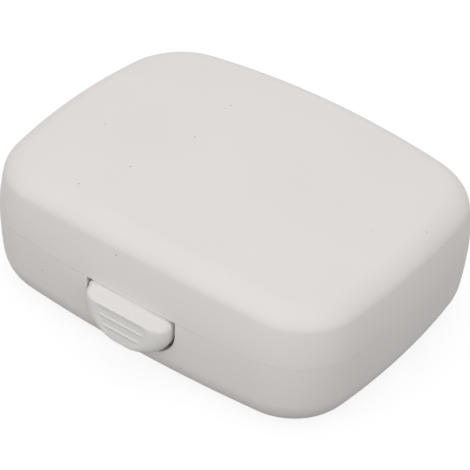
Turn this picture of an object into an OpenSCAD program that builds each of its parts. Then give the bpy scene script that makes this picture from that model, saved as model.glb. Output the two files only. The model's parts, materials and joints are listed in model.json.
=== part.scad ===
// Hinged hard case for a pair of hearing aids, closed, in millimetres.
// +Z is up, the latch faces -Y, and the origin is the middle of the flat bottom face.

/* [Case] */
// Width at the parting line, from one short side to the other
case_w = 85; // [78:0.5:100]
// Depth at the parting line, without the hinge and the latch
case_d = 65.5; // [60:0.5:80]
// Height of the closed case at the middle of the lid
case_h = 31; // [30:0.5:38]
// Height of the parting line between base and lid
parting_h = 16; // [15.5:0.25:18]
// Corner radius seen from above
corner_r = 15; // [12:0.5:18]
// How far each long side bows out in the middle
bow_long = 1.25; // [0.5:0.05:2]
// How far each short side bows out in the middle
bow_short = 1; // [0.5:0.05:2]
// Wall thickness of both shells
wall = 2; // [1.8:0.1:2.4]
// How the walls curve in from upright at the parting line, where 1 would be straight
wall_curve = 1.8; // [1:0.1:2.2]

/* [Base shell] */
// How far the base wall leans in between the parting line and the bottom
base_draft = 1.5; // [0.8:0.1:2]
// Width of the rounded bottom edge
base_edge_w = 4; // [3:0.25:5]
// Height of the rounded bottom edge
base_edge_h = 6.5; // [4:0.25:7]
// Thickness of the floor
floor_t = 2; // [1.6:0.1:2.4]

/* [Lid shell] */
// How far the lid wall leans in between the parting line and the top
lid_draft = 1.55; // [0.6:0.05:2]
// Width of the rounded upper edge
lid_edge_w = 5.3; // [3:0.1:7]
// Height of the rounded upper edge
lid_edge_h = 4.3; // [3:0.1:6]
// Radius of the domed top
crown_r = 257; // [220:1:600]

/* [Seam] */
// Open gap between the two rims
seam = 0.12; // [0.05:0.01:0.3]
// Break of the outer edges along the seam
seam_edge = 0.15; // [0.1:0.05:0.5]
// Height of the locating rim on the base
rim_h = 1.6; // [1:0.1:2]
// Thickness of the locating rim
rim_t = 0.9; // [0.7:0.05:1]
// Clearance between the locating rim and the lid
rim_gap = 0.2; // [0.15:0.05:0.3]

/* [Hinge] */
// Diameter of the hinge pin
hinge_pin_d = 1.5; // [1.2:0.1:1.8]
// Outer radius of the knuckles
knuckle_r = 1.9; // [1.7:0.05:2.1]
// Width of the lid's middle knuckle
lid_knuckle_w = 16; // [10:0.5:20]
// Width of each of the base's outer knuckles
base_knuckle_w = 8; // [5:0.5:10]
// Gap between neighbouring knuckles
knuckle_gap = 0.25; // [0.15:0.05:0.4]
// Distance of the hinge axis behind the rear wall
hinge_out = 0.9; // [0.8:0.05:1.3]
// Clearance between a knuckle and the wall that it turns past
knuckle_relief = 0.3; // [0.2:0.05:0.4]
// How far the web below or above a knuckle runs along the wall
knuckle_web = 5.5; // [4:0.25:7]
// How far the stop on each outer knuckle reaches behind the axis
stop_reach = 2.9; // [2.6:0.05:3.4]
// Opening angle of the lid
lid_open = 100; // [90:1:105]

/* [Latch] */
// Width of the button
button_w = 19.8; // [16:0.2:22]
// Height of the button
button_h = 9.75; // [9:0.05:10]
// How far the button would bulge out of the wall at its upper edge
button_bulge = 2.8; // [2:0.1:3.4]
// How much further it bulges at its lower edge
lower_bulge = 0.85; // [0:0.05:1]
// Gap between the button and the edge of its notch
button_gap = 0.6; // [0.4:0.05:0.8]
// Radius of the button's lower corners
button_corner_r = 6.9; // [5:0.1:7.2]
// Radius of the button's upper corners
button_top_r = 1.6; // [1:0.1:2]
// Height of the bevel along the top of the button
bevel_h = 1.55; // [1:0.05:1.8]
// Width of the rounding at each side of the button
side_round = 3.9; // [3:0.1:4.5]
// Height of the rounding along the bottom of the button
lower_round = 1.5; // [1:0.1:1.8]
// Number of grip steps on the face of the button
grip_count = 2; // [1:1:3]
// Distance of the first grip step's lower edge from the bevel
grip_start = 2.35; // [1.8:0.05:2.8]
// Distance from one grip step to the next
grip_pitch = 2.2; // [1.5:0.05:2.6]
// Depth of each grip step
grip_depth = 0.3; // [0.2:0.05:0.6]
// Width of the hook behind the button
hook_w = 10; // [8:0.5:12]
// Height of the hook's holding face above the parting line
hook_h = 2.6; // [2.4:0.05:2.8]
// How far the hook holds over the catch in the lid
hook_hold = 0.6; // [0.4:0.05:0.7]
// Thickness of the hook's arm
hook_t = 1.2; // [1:0.1:1.5]
// How far the catch stands out of the lid's wall
catch_ledge = 1.2; // [1.1:0.05:1.4]
// Clearance between the hook and the catch
hook_gap = 0.15; // [0.1:0.05:0.25]
// Thickness of the button behind the wall
plate_t = 1.4; // [1.2:0.1:1.6]
// Diameter of the two pivot pins
latch_pin_d = 1.4; // [1.2:0.1:1.6]
// Radius of the button's pivot barrel
barrel_r = 1.5; // [1.4:0.05:1.6]
// Length of the barrel past each side of the button
barrel_side = 2; // [1.8:0.1:2.5]
// Thickness of the cheeks that hold the pivot pins
cheek_t = 1.7; // [1.4:0.1:2]
// Thickness of the wall behind the spring
housing_t = 1.5; // [1.2:0.1:2]
// Press angle of the button
press_angle = 4; // [3.75:0.05:4.5]

/* [Latch spring] */
// Outer diameter of the spring
spring_d = 3.6; // [3.2:0.1:3.8]
// Diameter of the spring wire
spring_wire = 0.45; // [0.3:0.05:0.5]
// Length of the spring between its seats
spring_len = 5; // [4.8:0.1:6]
// Number of curls
spring_turns = 5; // [3:1:5]
// Depth of the spring's axis below the parting line
spring_drop = 3.4; // [3.2:0.1:3.8]

/* [Foam] */
// Thickness of the backing sheet on the floor
sheet_t = 2; // [1:0.25:3]
// How far the insert lies below the parting line
insert_drop = 1; // [0.5:0.25:2]
// How far the pad in the lid lies above the parting line
pad_lift = 4.8; // [4.8:0.1:5.4]
// Clearance between foam and shell
foam_gap = 0.2; // [0.1:0.05:0.4]
// Sideways distance of the centre of a well's bend from the middle
well_x = 6.5; // [5.5:0.25:8]
// Backward distance of the centre of a well's bend from the middle
well_y = 4.5; // [3:0.25:6]
// Half the widest part of a well
well_wide = 7; // [6:0.25:8]
// Half the narrow end of a well
well_narrow = 5; // [4:0.25:6]
// Radius of the curved middle line of a well
well_bend = 17; // [15:0.5:20]
// Half the angle that the middle line of a well turns through
well_turn = 52; // [40:1:60]

/* [Hidden] */
$fn = 48;

// Overlap of cuts past a face
cut = 1;
shell_colour = [0.87, 0.86, 0.85];
foam_colour = [0.22, 0.22, 0.24];
steel_colour = [0.72, 0.73, 0.75];

// Segments along a corner, a long side, a short side, a rounded edge and up a wall
corner_n = 10;
long_n = 6;
short_n = 4;
edge_n = 6;
wall_n = 3;

// Corner centres, then the arc of each bowed side: radius, centre and half angle
corner_x = case_w / 2 - corner_r - bow_short;
corner_y = case_d / 2 - corner_r - bow_long;
long_r = (corner_x ^ 2 + bow_long ^ 2) / (2 * bow_long);
long_c = corner_y + bow_long - long_r;
long_a = asin(corner_x / long_r);
short_r = (corner_y ^ 2 + bow_short ^ 2) / (2 * bow_short);
short_c = corner_x + bow_short - short_r;
short_a = asin(corner_y / short_r);

// How far the front or rear face has bowed back at a distance x from the middle
function bow_back(x) = let (r = long_r + corner_r) r - sqrt(r ^ 2 - x ^ 2);

function arc(centre, r, from, to, n) =
    [for (i = [0 : n]) let (a = from + (to - from) * i / n) centre + r * [cos(a), sin(a)]];

// Corner arc without the two end points that it shares with the sides
function corner(centre, r, from, to) =
    let (step = (to - from) / corner_n)
    arc(centre, r, from + step, to - step, corner_n - 2);

// Outline of the case seen from above, a distance inside the outline at the parting line
function outline(inset) =
    let (r = corner_r - inset)
    concat(
        arc([short_c, 0], short_r + r, -short_a, short_a, short_n),
        corner([corner_x, corner_y], r, short_a, 90 - long_a),
        arc([0, long_c], long_r + r, 90 - long_a, 90 + long_a, long_n),
        corner([-corner_x, corner_y], r, 90 + long_a, 180 - short_a),
        arc([-short_c, 0], short_r + r, 180 - short_a, 180 + short_a, short_n),
        corner([-corner_x, -corner_y], r, 180 + short_a, 270 - long_a),
        arc([0, -long_c], long_r + r, 270 - long_a, 270 + long_a, long_n),
        corner([corner_x, -corner_y], r, 270 + long_a, 360 - short_a)
    );

function flat_ring(inset, z) = [for (p = outline(inset)) [p.x, p.y, z]];

// Closed skin over a stack of rings that have the same number of points
module skin(rings, first, last) {
    n = len(rings[0]);
    m = len(rings);
    points = concat([for (r = rings) each r], [first, last]);
    sides = [for (j = [0 : m - 2], i = [0 : n - 1])
        let (a = j * n + i, b = j * n + (i + 1) % n)
        each [[a, a + n, b + n], [a, b + n, b]]];
    first_cap = [for (i = [0 : n - 1]) [i, (i + 1) % n, m * n]];
    top = (m - 1) * n;
    last_cap = [for (i = [0 : n - 1]) [top + (i + 1) % n, top + i, m * n + 1]];
    polyhedron(points, concat(sides, first_cap, last_cap), convexity = 10);
}

// Heights of the rings up or down a wall, without its two ends
function between(first, last) = [for (i = [1 : wall_n - 1]) first + (last - first) * i / wall_n];

// How far the base's wall has curved in at a height
function base_lean(z) = base_draft * (1 - z / parting_h) ^ wall_curve;

// Inset of the base's surface at a height, a depth inside its outer face
function base_inset(z, depth) =
    let (level = z - depth * floor_t / wall, q = min(1, max(0, 1 - level / base_edge_h)))
    base_edge_w * (1 - sqrt(1 - q ^ 2)) + base_lean(z) + depth;

// Heights of the rings round the rounded bottom edge, a depth inside the outer face
function base_levels(depth) =
    [for (i = [0 : edge_n]) base_edge_h * (1 - cos(90 * i / edge_n)) + depth * floor_t / wall];

function base_ring(z, depth) = flat_ring(base_inset(z, depth), z);

function reversed(list) = [for (i = [len(list) - 1 : -1 : 0]) list[i]];

// How far the lid's wall has curved in at a height
lid_h = case_h - parting_h;
function lid_lean(z) = lid_draft * ((z - parting_h) / lid_h) ^ wall_curve;

// Ring of the lid at a height, a depth inside its outer face, lowered as the dome is
function lid_level(z, edge_in, depth) =
    [for (p = outline(edge_in + lid_lean(z) + depth))
        [p.x, p.y, z - depth - (z - parting_h) / lid_h * (p * p) / (2 * crown_r)]];

// Ring on the lid's rounded upper edge
function lid_ring(angle, depth) =
    lid_level(case_h - lid_edge_h * (1 - sin(angle)), lid_edge_w * (1 - cos(angle)), depth);

// The domed top between the rounded edge and the middle, as smaller and smaller rings
dome_steps = [2 / 3, 1 / 3];
function dome_rings(depth) =
    [for (f = dome_steps) [for (p = lid_ring(90, depth))
        let (q = f * [p.x, p.y])
        [q.x, q.y, case_h - depth - (q * q) / (2 * crown_r)]]];

// The lid's face from its rounded edge to the middle of the dome
function lid_face(depth) =
    concat([for (i = [0 : edge_n]) lid_ring(90 * i / edge_n, depth)], dome_rings(depth));

// Places a flat section that is drawn as [inward, up] from the front wall at the parting line
module front_section(width) {
    translate([-width / 2, -case_d / 2, parting_h])
        rotate([90, 0, 90])
            linear_extrude(width)
                children();
}

// Places a flat section that is drawn as [backward, up] from the hinge axis
hinge_y = case_d / 2 + hinge_out;
module hinge_section(from, width) {
    translate([from, hinge_y, parting_h])
        rotate([90, 0, 90])
            linear_extrude(width)
                children();
}

// Places what is drawn on the flat behind the base's curved front wall: X right, Y up, Z out of it
wall_lean = atan(base_draft / parting_h);
module on_front_wall() {
    translate([0, -case_d / 2, parting_h])
        rotate([90 + wall_lean, 0, 0])
            children();
}

// Outline with a flat top and round corners, as the button and its notch have
d_corner_n = 6;
function d_outline(half_w, top, bottom, top_r, bottom_r) =
    concat(
        arc([half_w - bottom_r, bottom + bottom_r], bottom_r, -90, 0, d_corner_n),
        arc([half_w - top_r, top - top_r], top_r, 0, 90, d_corner_n),
        arc([top_r - half_w, top - top_r], top_r, 90, 180, d_corner_n),
        arc([bottom_r - half_w, bottom + bottom_r], bottom_r, 180, 270, d_corner_n)
    );

// The latch's pivot lies behind the wall, where the barrel clears it
barrel_clear = 0.2;
barrel_half = button_w / 2 + barrel_side;
pivot_z = -(wall + bow_back(barrel_half) + barrel_clear + barrel_r);

// Height of the pivot above the button's lower edge
pivot_lift = 0.5;
press_arm = button_h - pivot_lift;

// Halfway through a press the button's top edge has passed under the lid's lip, and has risen so far
lip_angle = press_angle / 2;
lip_t = press_arm * sin(lip_angle);
button_top = pivot_z * sin(lip_angle);
button_bottom = button_top - button_h;
pivot_y = button_bottom + pivot_lift;

// The notch in the base's front wall, open at the top
module latch_notch() {
    notch_top = rim_h + button_bulge;
    on_front_wall()
        translate([0, 0, -wall - bow_back(button_w / 2) - cut])
            linear_extrude(wall + bow_back(button_w / 2) + 2 * cut)
                polygon(d_outline(button_w / 2 + button_gap, notch_top, button_bottom - button_gap,
                    button_gap, button_corner_r + button_gap));
}

// The cheeks beside the barrel, and how far each pivot pin reaches into the barrel
cheek_gap = 0.3;
cheek_x = barrel_half + cheek_gap;
cheek_out = cheek_x + cheek_t;
pin_hold = 2.5;
pin_end_gap = 0.3;
pin_in = barrel_half - pin_hold;

// Room for the barrel to turn in, should the wall or the floor come near it
module barrel_room() {
    on_front_wall()
        translate([-cheek_x, pivot_y, pivot_z])
            rotate([0, 90, 0])
                cylinder(r = barrel_r + barrel_clear / 2, h = 2 * cheek_x);
}

// Both pivot pins, or the bores for them
module latch_pivot_pin(radius, from, to) {
    on_front_wall()
        for (side = [-1, 1])
            translate([side > 0 ? from : -to, pivot_y, pivot_z])
                rotate([0, 90, 0])
                    cylinder(r = radius, h = to - from);
}

// The hook's arm starts behind the catch, and the spring's seat lies behind the arm
catch_reach = wall + catch_ledge;
arm_in = catch_reach + 2 * hook_gap;
arm_out = arm_in + hook_t;
seat_margin = 0.2;
seat_gap = 0.05;
housing_in = arm_out + spring_len + 2 * seat_gap;
housing_out = housing_in + housing_t;

// The spigots that centre the spring have a clearance inside it
spigot_clear = 0.35;
spigot_d = spring_d - 2 * spring_wire - 2 * spigot_clear;
spigot_h = 1.4;

// Top of the walls round the latch, below the parting line
housing_top = -0.9;

// Spigot that centres the spring, drawn along +Y from a distance behind the front wall
module spring_spigot(from, to) {
    translate([0, -case_d / 2 + from, parting_h - spring_drop])
        rotate([-90, 0, 0])
            cylinder(d = spigot_d, h = to - from);
}

// Walls round the latch, rooted halfway into the base's wall and floor
module latch_housing() {
    root = wall / 2;
    root_line = [for (z = base_levels(root)) [base_inset(z, root), z - parting_h]];
    for (side = [-1, 1])
        translate([side * (cheek_x + cheek_t / 2), 0, 0])
            front_section(cheek_t)
                polygon(concat(
                    root_line,
                    [[base_inset(parting_h, root), housing_top], [housing_out, housing_top],
                        [housing_out, floor_t / 2 - parting_h]]
                ));
    front_section(2 * cheek_x + cheek_t)
        translate([housing_in, floor_t / 2 - parting_h])
            square([housing_t, parting_h + housing_top - floor_t / 2]);
    spring_spigot(housing_in - spigot_h, housing_in + housing_t / 2);
}

// Hinge: where the knuckles lie along the axis, and how far they are rooted in the wall
lid_knuckle_x = lid_knuckle_w / 2;
base_knuckle_x = lid_knuckle_x + knuckle_gap;
base_knuckle_end = base_knuckle_x + base_knuckle_w;
knuckle_root = -(hinge_out + wall / 2);
stop_margin = 1.5;
hinge_snug = 0.01;
hinge_run = 0.05;

// Height at which the opened lid's rear wall reaches the stop, above the axis
stop_angle = lid_open + stop_margin;
lid_slope = lid_lean(parting_h + stop_reach) / stop_reach;
stop_wall = (stop_reach + hinge_out * cos(stop_angle)) / (sin(stop_angle) - lid_slope * cos(stop_angle));
stop_top = (hinge_out + lid_slope * stop_wall) * sin(stop_angle) + stop_wall * cos(stop_angle);

// Sides of the stop, and the level at which the webs leave the knuckles
stop_h = 1.4;
web_start = 0.3;

module base_knuckles() {
    for (from = [-base_knuckle_end, base_knuckle_x])
        hinge_section(from, base_knuckle_w) {
            circle(r = knuckle_r);
            polygon([[knuckle_root, stop_top], [stop_reach, stop_top], [stop_reach, -stop_h],
                [knuckle_root, -knuckle_web]]);
        }
}

module lid_knuckle() {
    hinge_section(-lid_knuckle_x, lid_knuckle_w) {
        circle(r = knuckle_r);
        polygon([[knuckle_root, web_start], [knuckle_r - web_start, web_start],
            [knuckle_root - lid_lean(parting_h + knuckle_web), knuckle_web]]);
    }
}

// Room for a knuckle to turn past the other shell's wall
module knuckle_room(from, to) {
    hinge_section(from - knuckle_gap, to - from + 2 * knuckle_gap)
        circle(r = knuckle_r + knuckle_relief);
}

module hinge_bore(clearance, half_length) {
    hinge_section(-half_length, 2 * half_length)
        circle(d = hinge_pin_d + 2 * clearance);
}

// Lower shell: tub, locating rim, latch notch and walls, and the outer knuckles
module base_shell() {
    rim_in = wall - rim_t;
    rim_break = rim_gap;
    rings = concat(
        [for (z = base_levels(0)) base_ring(z, 0)],
        [for (z = between(base_edge_h, parting_h)) base_ring(z, 0)],
        [
            base_ring(parting_h - seam / 2 - seam_edge, 0),
            flat_ring(seam_edge, parting_h - seam / 2),
            flat_ring(rim_in, parting_h - seam / 2),
            flat_ring(rim_in, parting_h + rim_h - rim_break),
            flat_ring(rim_in + rim_break, parting_h + rim_h),
            flat_ring(wall, parting_h + rim_h)
        ],
        [for (z = between(parting_h, base_edge_h + floor_t)) base_ring(z, wall)],
        [for (z = reversed(base_levels(wall))) base_ring(z, wall)]
    );
    color(shell_colour)
        difference() {
            union() {
                difference() {
                    skin(rings, [0, 0, 0], [0, 0, floor_t]);
                    latch_notch();
                    barrel_room();
                    knuckle_room(-lid_knuckle_x, lid_knuckle_x);
                }
                latch_housing();
                base_knuckles();
            }
            hinge_bore(hinge_snug, base_knuckle_end + cut);
            latch_pivot_pin(latch_pin_d / 2 + hinge_snug, cheek_x - cheek_gap, cheek_out + cut);
        }
}

// Upper shell: domed lid with a groove for the locating rim, the catch and the middle knuckle
module lid_shell() {
    skirt_t = wall - rim_t - rim_gap;
    skirt_z = parting_h + seam / 2;
    groove_z = parting_h + rim_h + rim_gap;
    edge_z = case_h - lid_edge_h;
    rings = concat(
        reversed(lid_face(wall)),
        [for (z = between(edge_z, groove_z + wall)) lid_level(z, 0, wall)],
        [
            flat_ring(wall + lid_lean(groove_z), groove_z),
            flat_ring(skirt_t, groove_z),
            flat_ring(skirt_t, skirt_z),
            flat_ring(seam_edge, skirt_z),
            flat_ring(lid_lean(skirt_z + seam_edge), skirt_z + seam_edge)
        ],
        [for (z = between(skirt_z, edge_z)) lid_level(z, 0, 0)],
        lid_face(0)
    );
    color(shell_colour)
        difference() {
            union() {
                difference() {
                    skin(rings, [0, 0, case_h - wall], [0, 0, case_h]);
                    knuckle_room(-base_knuckle_end, -base_knuckle_x);
                    knuckle_room(base_knuckle_x, base_knuckle_end);
                    press_room();
                }
                lid_catch();
                lid_knuckle();
            }
            hinge_bore(hinge_run, lid_knuckle_x + cut);
        }
}

// Room behind the lid's lip, sloped as the path of the button's top edge
module press_room() {
    lip_z = seam / 2;
    rise = -pivot_z / press_arm;
    front_section(button_w + 2 * button_gap)
        polygon([[lip_t, lip_z], [lip_t, lip_z - cut], [wall, lip_z - cut],
            [wall, lip_z + (wall - lip_t) * rise]]);
}

// Ledge inside the lid's front wall, under the hook
module lid_catch() {
    catch_top = hook_h - hook_gap;
    catch_low = 1;
    catch_side = 1.5;
    catch_break = 0.5;
    root = wall / 4;
    front_section(hook_w + 2 * catch_side)
        polygon([[root, catch_low], [catch_reach - catch_break, catch_low],
            [catch_reach, catch_low + catch_break], [catch_reach, catch_top], [root, catch_top]]);
}

// Share of the side rounding that comes off the lower corners' radius
corner_share = 0.6;

// Outline of the button where its rounded edge has turned through an angle
function button_ring(angle) =
    let (
        side_in = side_round * (1 - cos(angle)),
        low_in = lower_round * (1 - cos(angle)),
        top_in = bevel_h * sin(angle),
        top_r = button_top_r * (1 - sin(angle) / 2),
        bottom_r = button_corner_r - side_in * corner_share
    )
    d_outline(button_w / 2 - side_in, button_top - top_in, button_bottom + low_in, top_r, bottom_r);

// Height of the button's face out of the wall
function face_out(y) = button_bulge + lower_bulge * (button_top - y) / button_h;

// Button: bulging body with a bevel and grip steps, pivot barrel, stop wings, hook and spring seat
plate_back = wall + plate_t;
module latch_button() {
    body = concat(
        [[for (p = button_ring(0)) [p.x, p.y, -plate_back]]],
        [for (i = [0 : edge_n])
            let (angle = 90 * i / edge_n)
            [for (p = button_ring(angle)) [p.x, p.y, face_out(p.y) * sin(angle)]]]
    );
    middle = (button_top + button_bottom) / 2;
    color(shell_colour)
        difference() {
            union() {
                on_front_wall() {
                    difference() {
                        skin(body, [0, middle, -plate_back], [0, middle, face_out(middle)]);
                        grip_steps();
                    }
                    pivot_barrel();
                    stop_wings();
                }
                hook();
            }
            latch_pivot_pin(latch_pin_d / 2 + hinge_run, pin_in - pin_end_gap, barrel_half + cut);
        }
}

// Shallow steps that slope in towards their lower edge, within the flat of the face
module grip_steps() {
    face_top = button_top - bevel_h;
    face_half = button_w / 2 - side_round;
    face_bottom = button_bottom + lower_round;
    face_edge = 0.2;
    intersection() {
        translate([0, 0, button_bulge - grip_depth - cut])
            linear_extrude(grip_depth + lower_bulge + 2 * cut)
                polygon(d_outline(face_half - face_edge, face_top - face_edge, face_bottom + face_edge,
                    face_edge, button_corner_r - side_round * corner_share));
        for (i = [0 : grip_count - 1]) {
            low = face_top - grip_start - i * grip_pitch;
            high = low + grip_pitch - face_edge;
            translate([-face_half, 0, 0])
                rotate([90, 0, 90])
                    linear_extrude(2 * face_half)
                        polygon([[high, face_out(high)], [low, face_out(low) - grip_depth],
                            [low, face_out(low) + cut], [high, face_out(high) + cut]]);
        }
    }
}

module pivot_barrel() {
    translate([-barrel_half, pivot_y, pivot_z])
        rotate([0, 90, 0])
            cylinder(r = barrel_r, h = 2 * barrel_half);
}

// Wings behind the wall that stop the button from coming out
module stop_wings() {
    wing_side = 1.2;
    wing_t = 1.2;
    wing_h = 4.6;
    wing_clear = 0.15;
    wing_out = button_w / 2 + button_gap + wing_side;
    wing_front = wall + bow_back(wing_out) + wing_clear;
    translate([-wing_out, button_top - wing_side - wing_h, -wing_front - wing_t])
        cube([2 * wing_out, wing_h, wing_t]);
}

// Arm behind the button that rises into the lid, with a sloped nose and a seat for the spring
module hook() {
    nose_in = catch_reach - hook_hold;
    nose_h = 0.5;
    tip = hook_h + nose_h + arm_in - nose_in;
    root_in = wall / 2;
    seat_half = spring_d / 2 + seat_margin;
    seat_top = -spring_drop + seat_half;
    seat_bottom = -spring_drop - seat_half;
    front_section(hook_w)
        polygon([[root_in, seat_bottom], [arm_out, seat_bottom], [arm_out, tip], [arm_in, tip],
            [nose_in, hook_h + nose_h], [nose_in, hook_h], [arm_in, hook_h], [arm_in, seat_top],
            [root_in, seat_top]]);
    spring_spigot(arm_out - hook_t / 2, arm_out + spigot_h);
}

// Steel pin through all three knuckles
module hinge_pin() {
    color(steel_colour)
        hinge_section(-base_knuckle_end, 2 * base_knuckle_end)
            circle(d = hinge_pin_d);
}

// Two short steel pins, each held in a cheek, on which the button turns
module latch_pins() {
    color(steel_colour)
        latch_pivot_pin(latch_pin_d / 2, pin_in, cheek_out);
}

// Coil spring between the hook's seat and the housing, as one tube
spring_steps = 8;
spring_sides = 6;
spring_r = (spring_d - spring_wire) / 2;
spring_n = spring_turns * spring_steps;
spring_start = -case_d / 2 + arm_out + seat_gap + spring_wire / 2;
function spring_point(i) =
    let (a = 360 * i / spring_steps)
    [spring_r * cos(a), spring_start + (spring_len - spring_wire) * i / spring_n,
        parting_h - spring_drop + spring_r * sin(a)];
spring_points = [for (i = [0 : spring_n]) spring_point(i)];
spring_gap = min([for (i = [0 : spring_n], j = [i + spring_steps / 2 : 1 : spring_n])
    norm(spring_points[i] - spring_points[j])]) - spring_wire;

module latch_spring() {
    echo(least_gap_between_spring_curls = spring_gap);
    rings = [for (i = [0 : spring_n])
        let (out = [cos(360 * i / spring_steps), 0, sin(360 * i / spring_steps)])
        [for (k = [0 : spring_sides - 1])
            let (b = -360 * k / spring_sides)
            spring_points[i] + spring_wire / 2 * (cos(b) * out + sin(b) * [0, 1, 0])]];
    color(steel_colour)
        skin(rings, spring_points[0], spring_points[spring_n]);
}

// Space that the latch and its walls take out of the foam
module latch_space() {
    half = cheek_out + 2 * foam_gap;
    translate([-half, -case_d / 2 - cut, 0])
        cube([2 * half, housing_out + 2 * foam_gap + cut, parting_h]);
}

// Block of foam that follows the inside of the base between two heights
foam_steps = 6;
module base_foam(bottom, top) {
    depth = wall + foam_gap;
    levels = [for (i = [0 : foam_steps]) bottom + (top - bottom) * (i / foam_steps) ^ 2];
    skin([for (z = levels) base_ring(z, depth)], [0, 0, bottom], [0, 0, top]);
}

// Plain foam sheet on the floor
glue_gap = 0.05;
sheet_z = floor_t + glue_gap;
insert_z = sheet_z + sheet_t + glue_gap;
module base_foam_sheet() {
    color(foam_colour)
        difference() {
            base_foam(sheet_z, sheet_z + sheet_t);
            latch_space();
        }
}

// Bean-shaped outline of a well, wide at its front end and narrow at its rear end
well_n = 16;
function well_point(turn) = [well_x, well_y] + well_bend * [cos(turn), sin(turn)];
function well_half(turn) = well_wide + (well_narrow - well_wide) * (turn + well_turn) / (2 * well_turn);
function well_outline() =
    let (turns = [for (i = [0 : well_n]) well_turn * (2 * i / well_n - 1)])
    concat(
        [for (t = turns) well_point(t) + well_half(t) * [cos(t), sin(t)]],
        arc(well_point(well_turn), well_narrow, well_turn, well_turn + 180, well_n),
        [for (t = reversed(turns)) well_point(t) - well_half(t) * [cos(t), sin(t)]],
        arc(well_point(-well_turn), well_wide, 180 - well_turn, 360 - well_turn, well_n)
    );

// Die-cut foam block with a well for each aid
module base_foam_insert() {
    top = parting_h - insert_drop;
    color(foam_colour)
        difference() {
            base_foam(insert_z, top);
            latch_space();
            for (side = [0, 1])
                mirror([side, 0, 0])
                    translate([0, 0, insert_z - cut])
                        linear_extrude(top - insert_z + 2 * cut)
                            polygon(well_outline());
        }
}

// Foam pad that fills the dome of the lid
module lid_foam_pad() {
    depth = wall + foam_gap;
    bottom = parting_h + pad_lift;
    rings = concat([flat_ring(lid_lean(case_h - lid_edge_h) + depth, bottom)], lid_face(depth));
    color(foam_colour)
        skin(rings, [0, 0, bottom], [0, 0, case_h - depth]);
}

base_shell();
base_foam_sheet();
base_foam_insert();
hinge_pin();
latch_pins();
latch_spring();
latch_button();
lid_shell();
lid_foam_pad();
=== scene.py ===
"""Looks of a hearing aid case: moulded shells, a press latch, foam and steel, on a pale studio floor."""
import json
import math
from collections import namedtuple

import bpy
import numpy as np
from mathutils import Matrix, Vector, noise


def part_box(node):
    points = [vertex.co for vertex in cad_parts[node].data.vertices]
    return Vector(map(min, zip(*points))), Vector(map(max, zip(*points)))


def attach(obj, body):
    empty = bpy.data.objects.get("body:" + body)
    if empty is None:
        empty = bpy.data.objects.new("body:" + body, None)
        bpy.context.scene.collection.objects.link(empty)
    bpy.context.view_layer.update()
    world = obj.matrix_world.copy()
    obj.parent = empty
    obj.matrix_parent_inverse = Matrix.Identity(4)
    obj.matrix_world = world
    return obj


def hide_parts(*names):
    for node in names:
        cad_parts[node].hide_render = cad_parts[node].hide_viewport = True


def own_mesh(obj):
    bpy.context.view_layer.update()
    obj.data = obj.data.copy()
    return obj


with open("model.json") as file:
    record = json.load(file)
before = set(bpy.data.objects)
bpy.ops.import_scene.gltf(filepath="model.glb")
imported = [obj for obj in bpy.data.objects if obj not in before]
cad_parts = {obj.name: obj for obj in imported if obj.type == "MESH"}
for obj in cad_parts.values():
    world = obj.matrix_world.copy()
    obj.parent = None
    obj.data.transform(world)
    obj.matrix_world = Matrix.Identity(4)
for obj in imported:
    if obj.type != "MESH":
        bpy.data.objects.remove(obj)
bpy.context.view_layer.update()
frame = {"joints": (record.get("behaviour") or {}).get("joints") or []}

MM = 0.001
joints = {joint["name"]: joint for joint in frame["joints"]}
hinge_point = Vector(joints["lid_hinge"]["pos_m"])
pivot_point = Vector(joints["latch_press"]["pos_m"])
lid_open = joints["lid_hinge"]["range_deg"][1]
press_angle = joints["latch_press"]["range_deg"][1]

# Case: the bowed outline at the parting line, and walls that curve in by a power of the height
CASE_W = 85 * MM
CASE_D = 65.5 * MM
CASE_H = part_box("lid_shell")[1].z
PARTING_H = hinge_point.z
CORNER_R = 15 * MM
BOW_LONG = 1.25 * MM
BOW_SHORT = 1 * MM
WALL = 2 * MM
WALL_CURVE = 1.8
FLOOR_T = 2 * MM
BASE_DRAFT = 1.5 * MM
BASE_EDGE_W = 4 * MM
BASE_EDGE_H = 6.5 * MM
LID_H = CASE_H - PARTING_H
LID_DRAFT = 1.55 * MM
LID_EDGE_W = 4.3 * MM
LID_EDGE_H = 4.3 * MM
CROWN_R = 257 * MM

# Seam between the shells, which is a hairline, with the locating rim inside it
SEAM = 0.045 * MM
SEAM_ROUND = 0.03 * MM
RIM_H = 1.6 * MM
RIM_T = 0.9 * MM
RIM_GAP = 0.2 * MM
RIM_ROUND = 0.25 * MM

# Hinge: the pin, the knuckles with their webs, and the stops, which the lid meets past its full angle
HINGE_OUT = hinge_point.y - CASE_D / 2
PIN_R = 0.75 * MM
HINGE_SNUG = 0.01 * MM
HINGE_RUN = 0.05 * MM
KNUCKLE_R = 1.9 * MM
LID_KNUCKLE_W = 16 * MM
BASE_KNUCKLE_W = 8 * MM
KNUCKLE_GAP = 0.25 * MM
KNUCKLE_RELIEF = 0.3 * MM
KNUCKLE_WEB = 5.5 * MM
WEB_START = 0.3 * MM
STOP_REACH = 2.9 * MM
STOP_H = 1.4 * MM
STOP_MARGIN = 1.5

# Latch button: its outline in the notch, and how far its face stands out at the top and further down
BUTTON_W = 19.8 * MM
BUTTON_H = 9.84 * MM
BUTTON_GAP = 0.6 * MM
BUTTON_CORNER_R = 6.9 * MM
BUTTON_TOP_R = 1.6 * MM
BUTTON_BULGE = 2.8 * MM
LOWER_BULGE = 0.8 * MM
LOWER_DROOP = 0.25 * MM

# The button's rounded border, with an upright step over the bevel that ends at a share of the way out
SIDE_ROUND = 3.9 * MM
LOWER_ROUND = 0.9 * MM
CORNER_SHARE = 0.35
BEVEL_H = 1.55 * MM
BEVEL_STEP = 0.6 * MM
STEP_SHARE = 0.02

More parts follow.
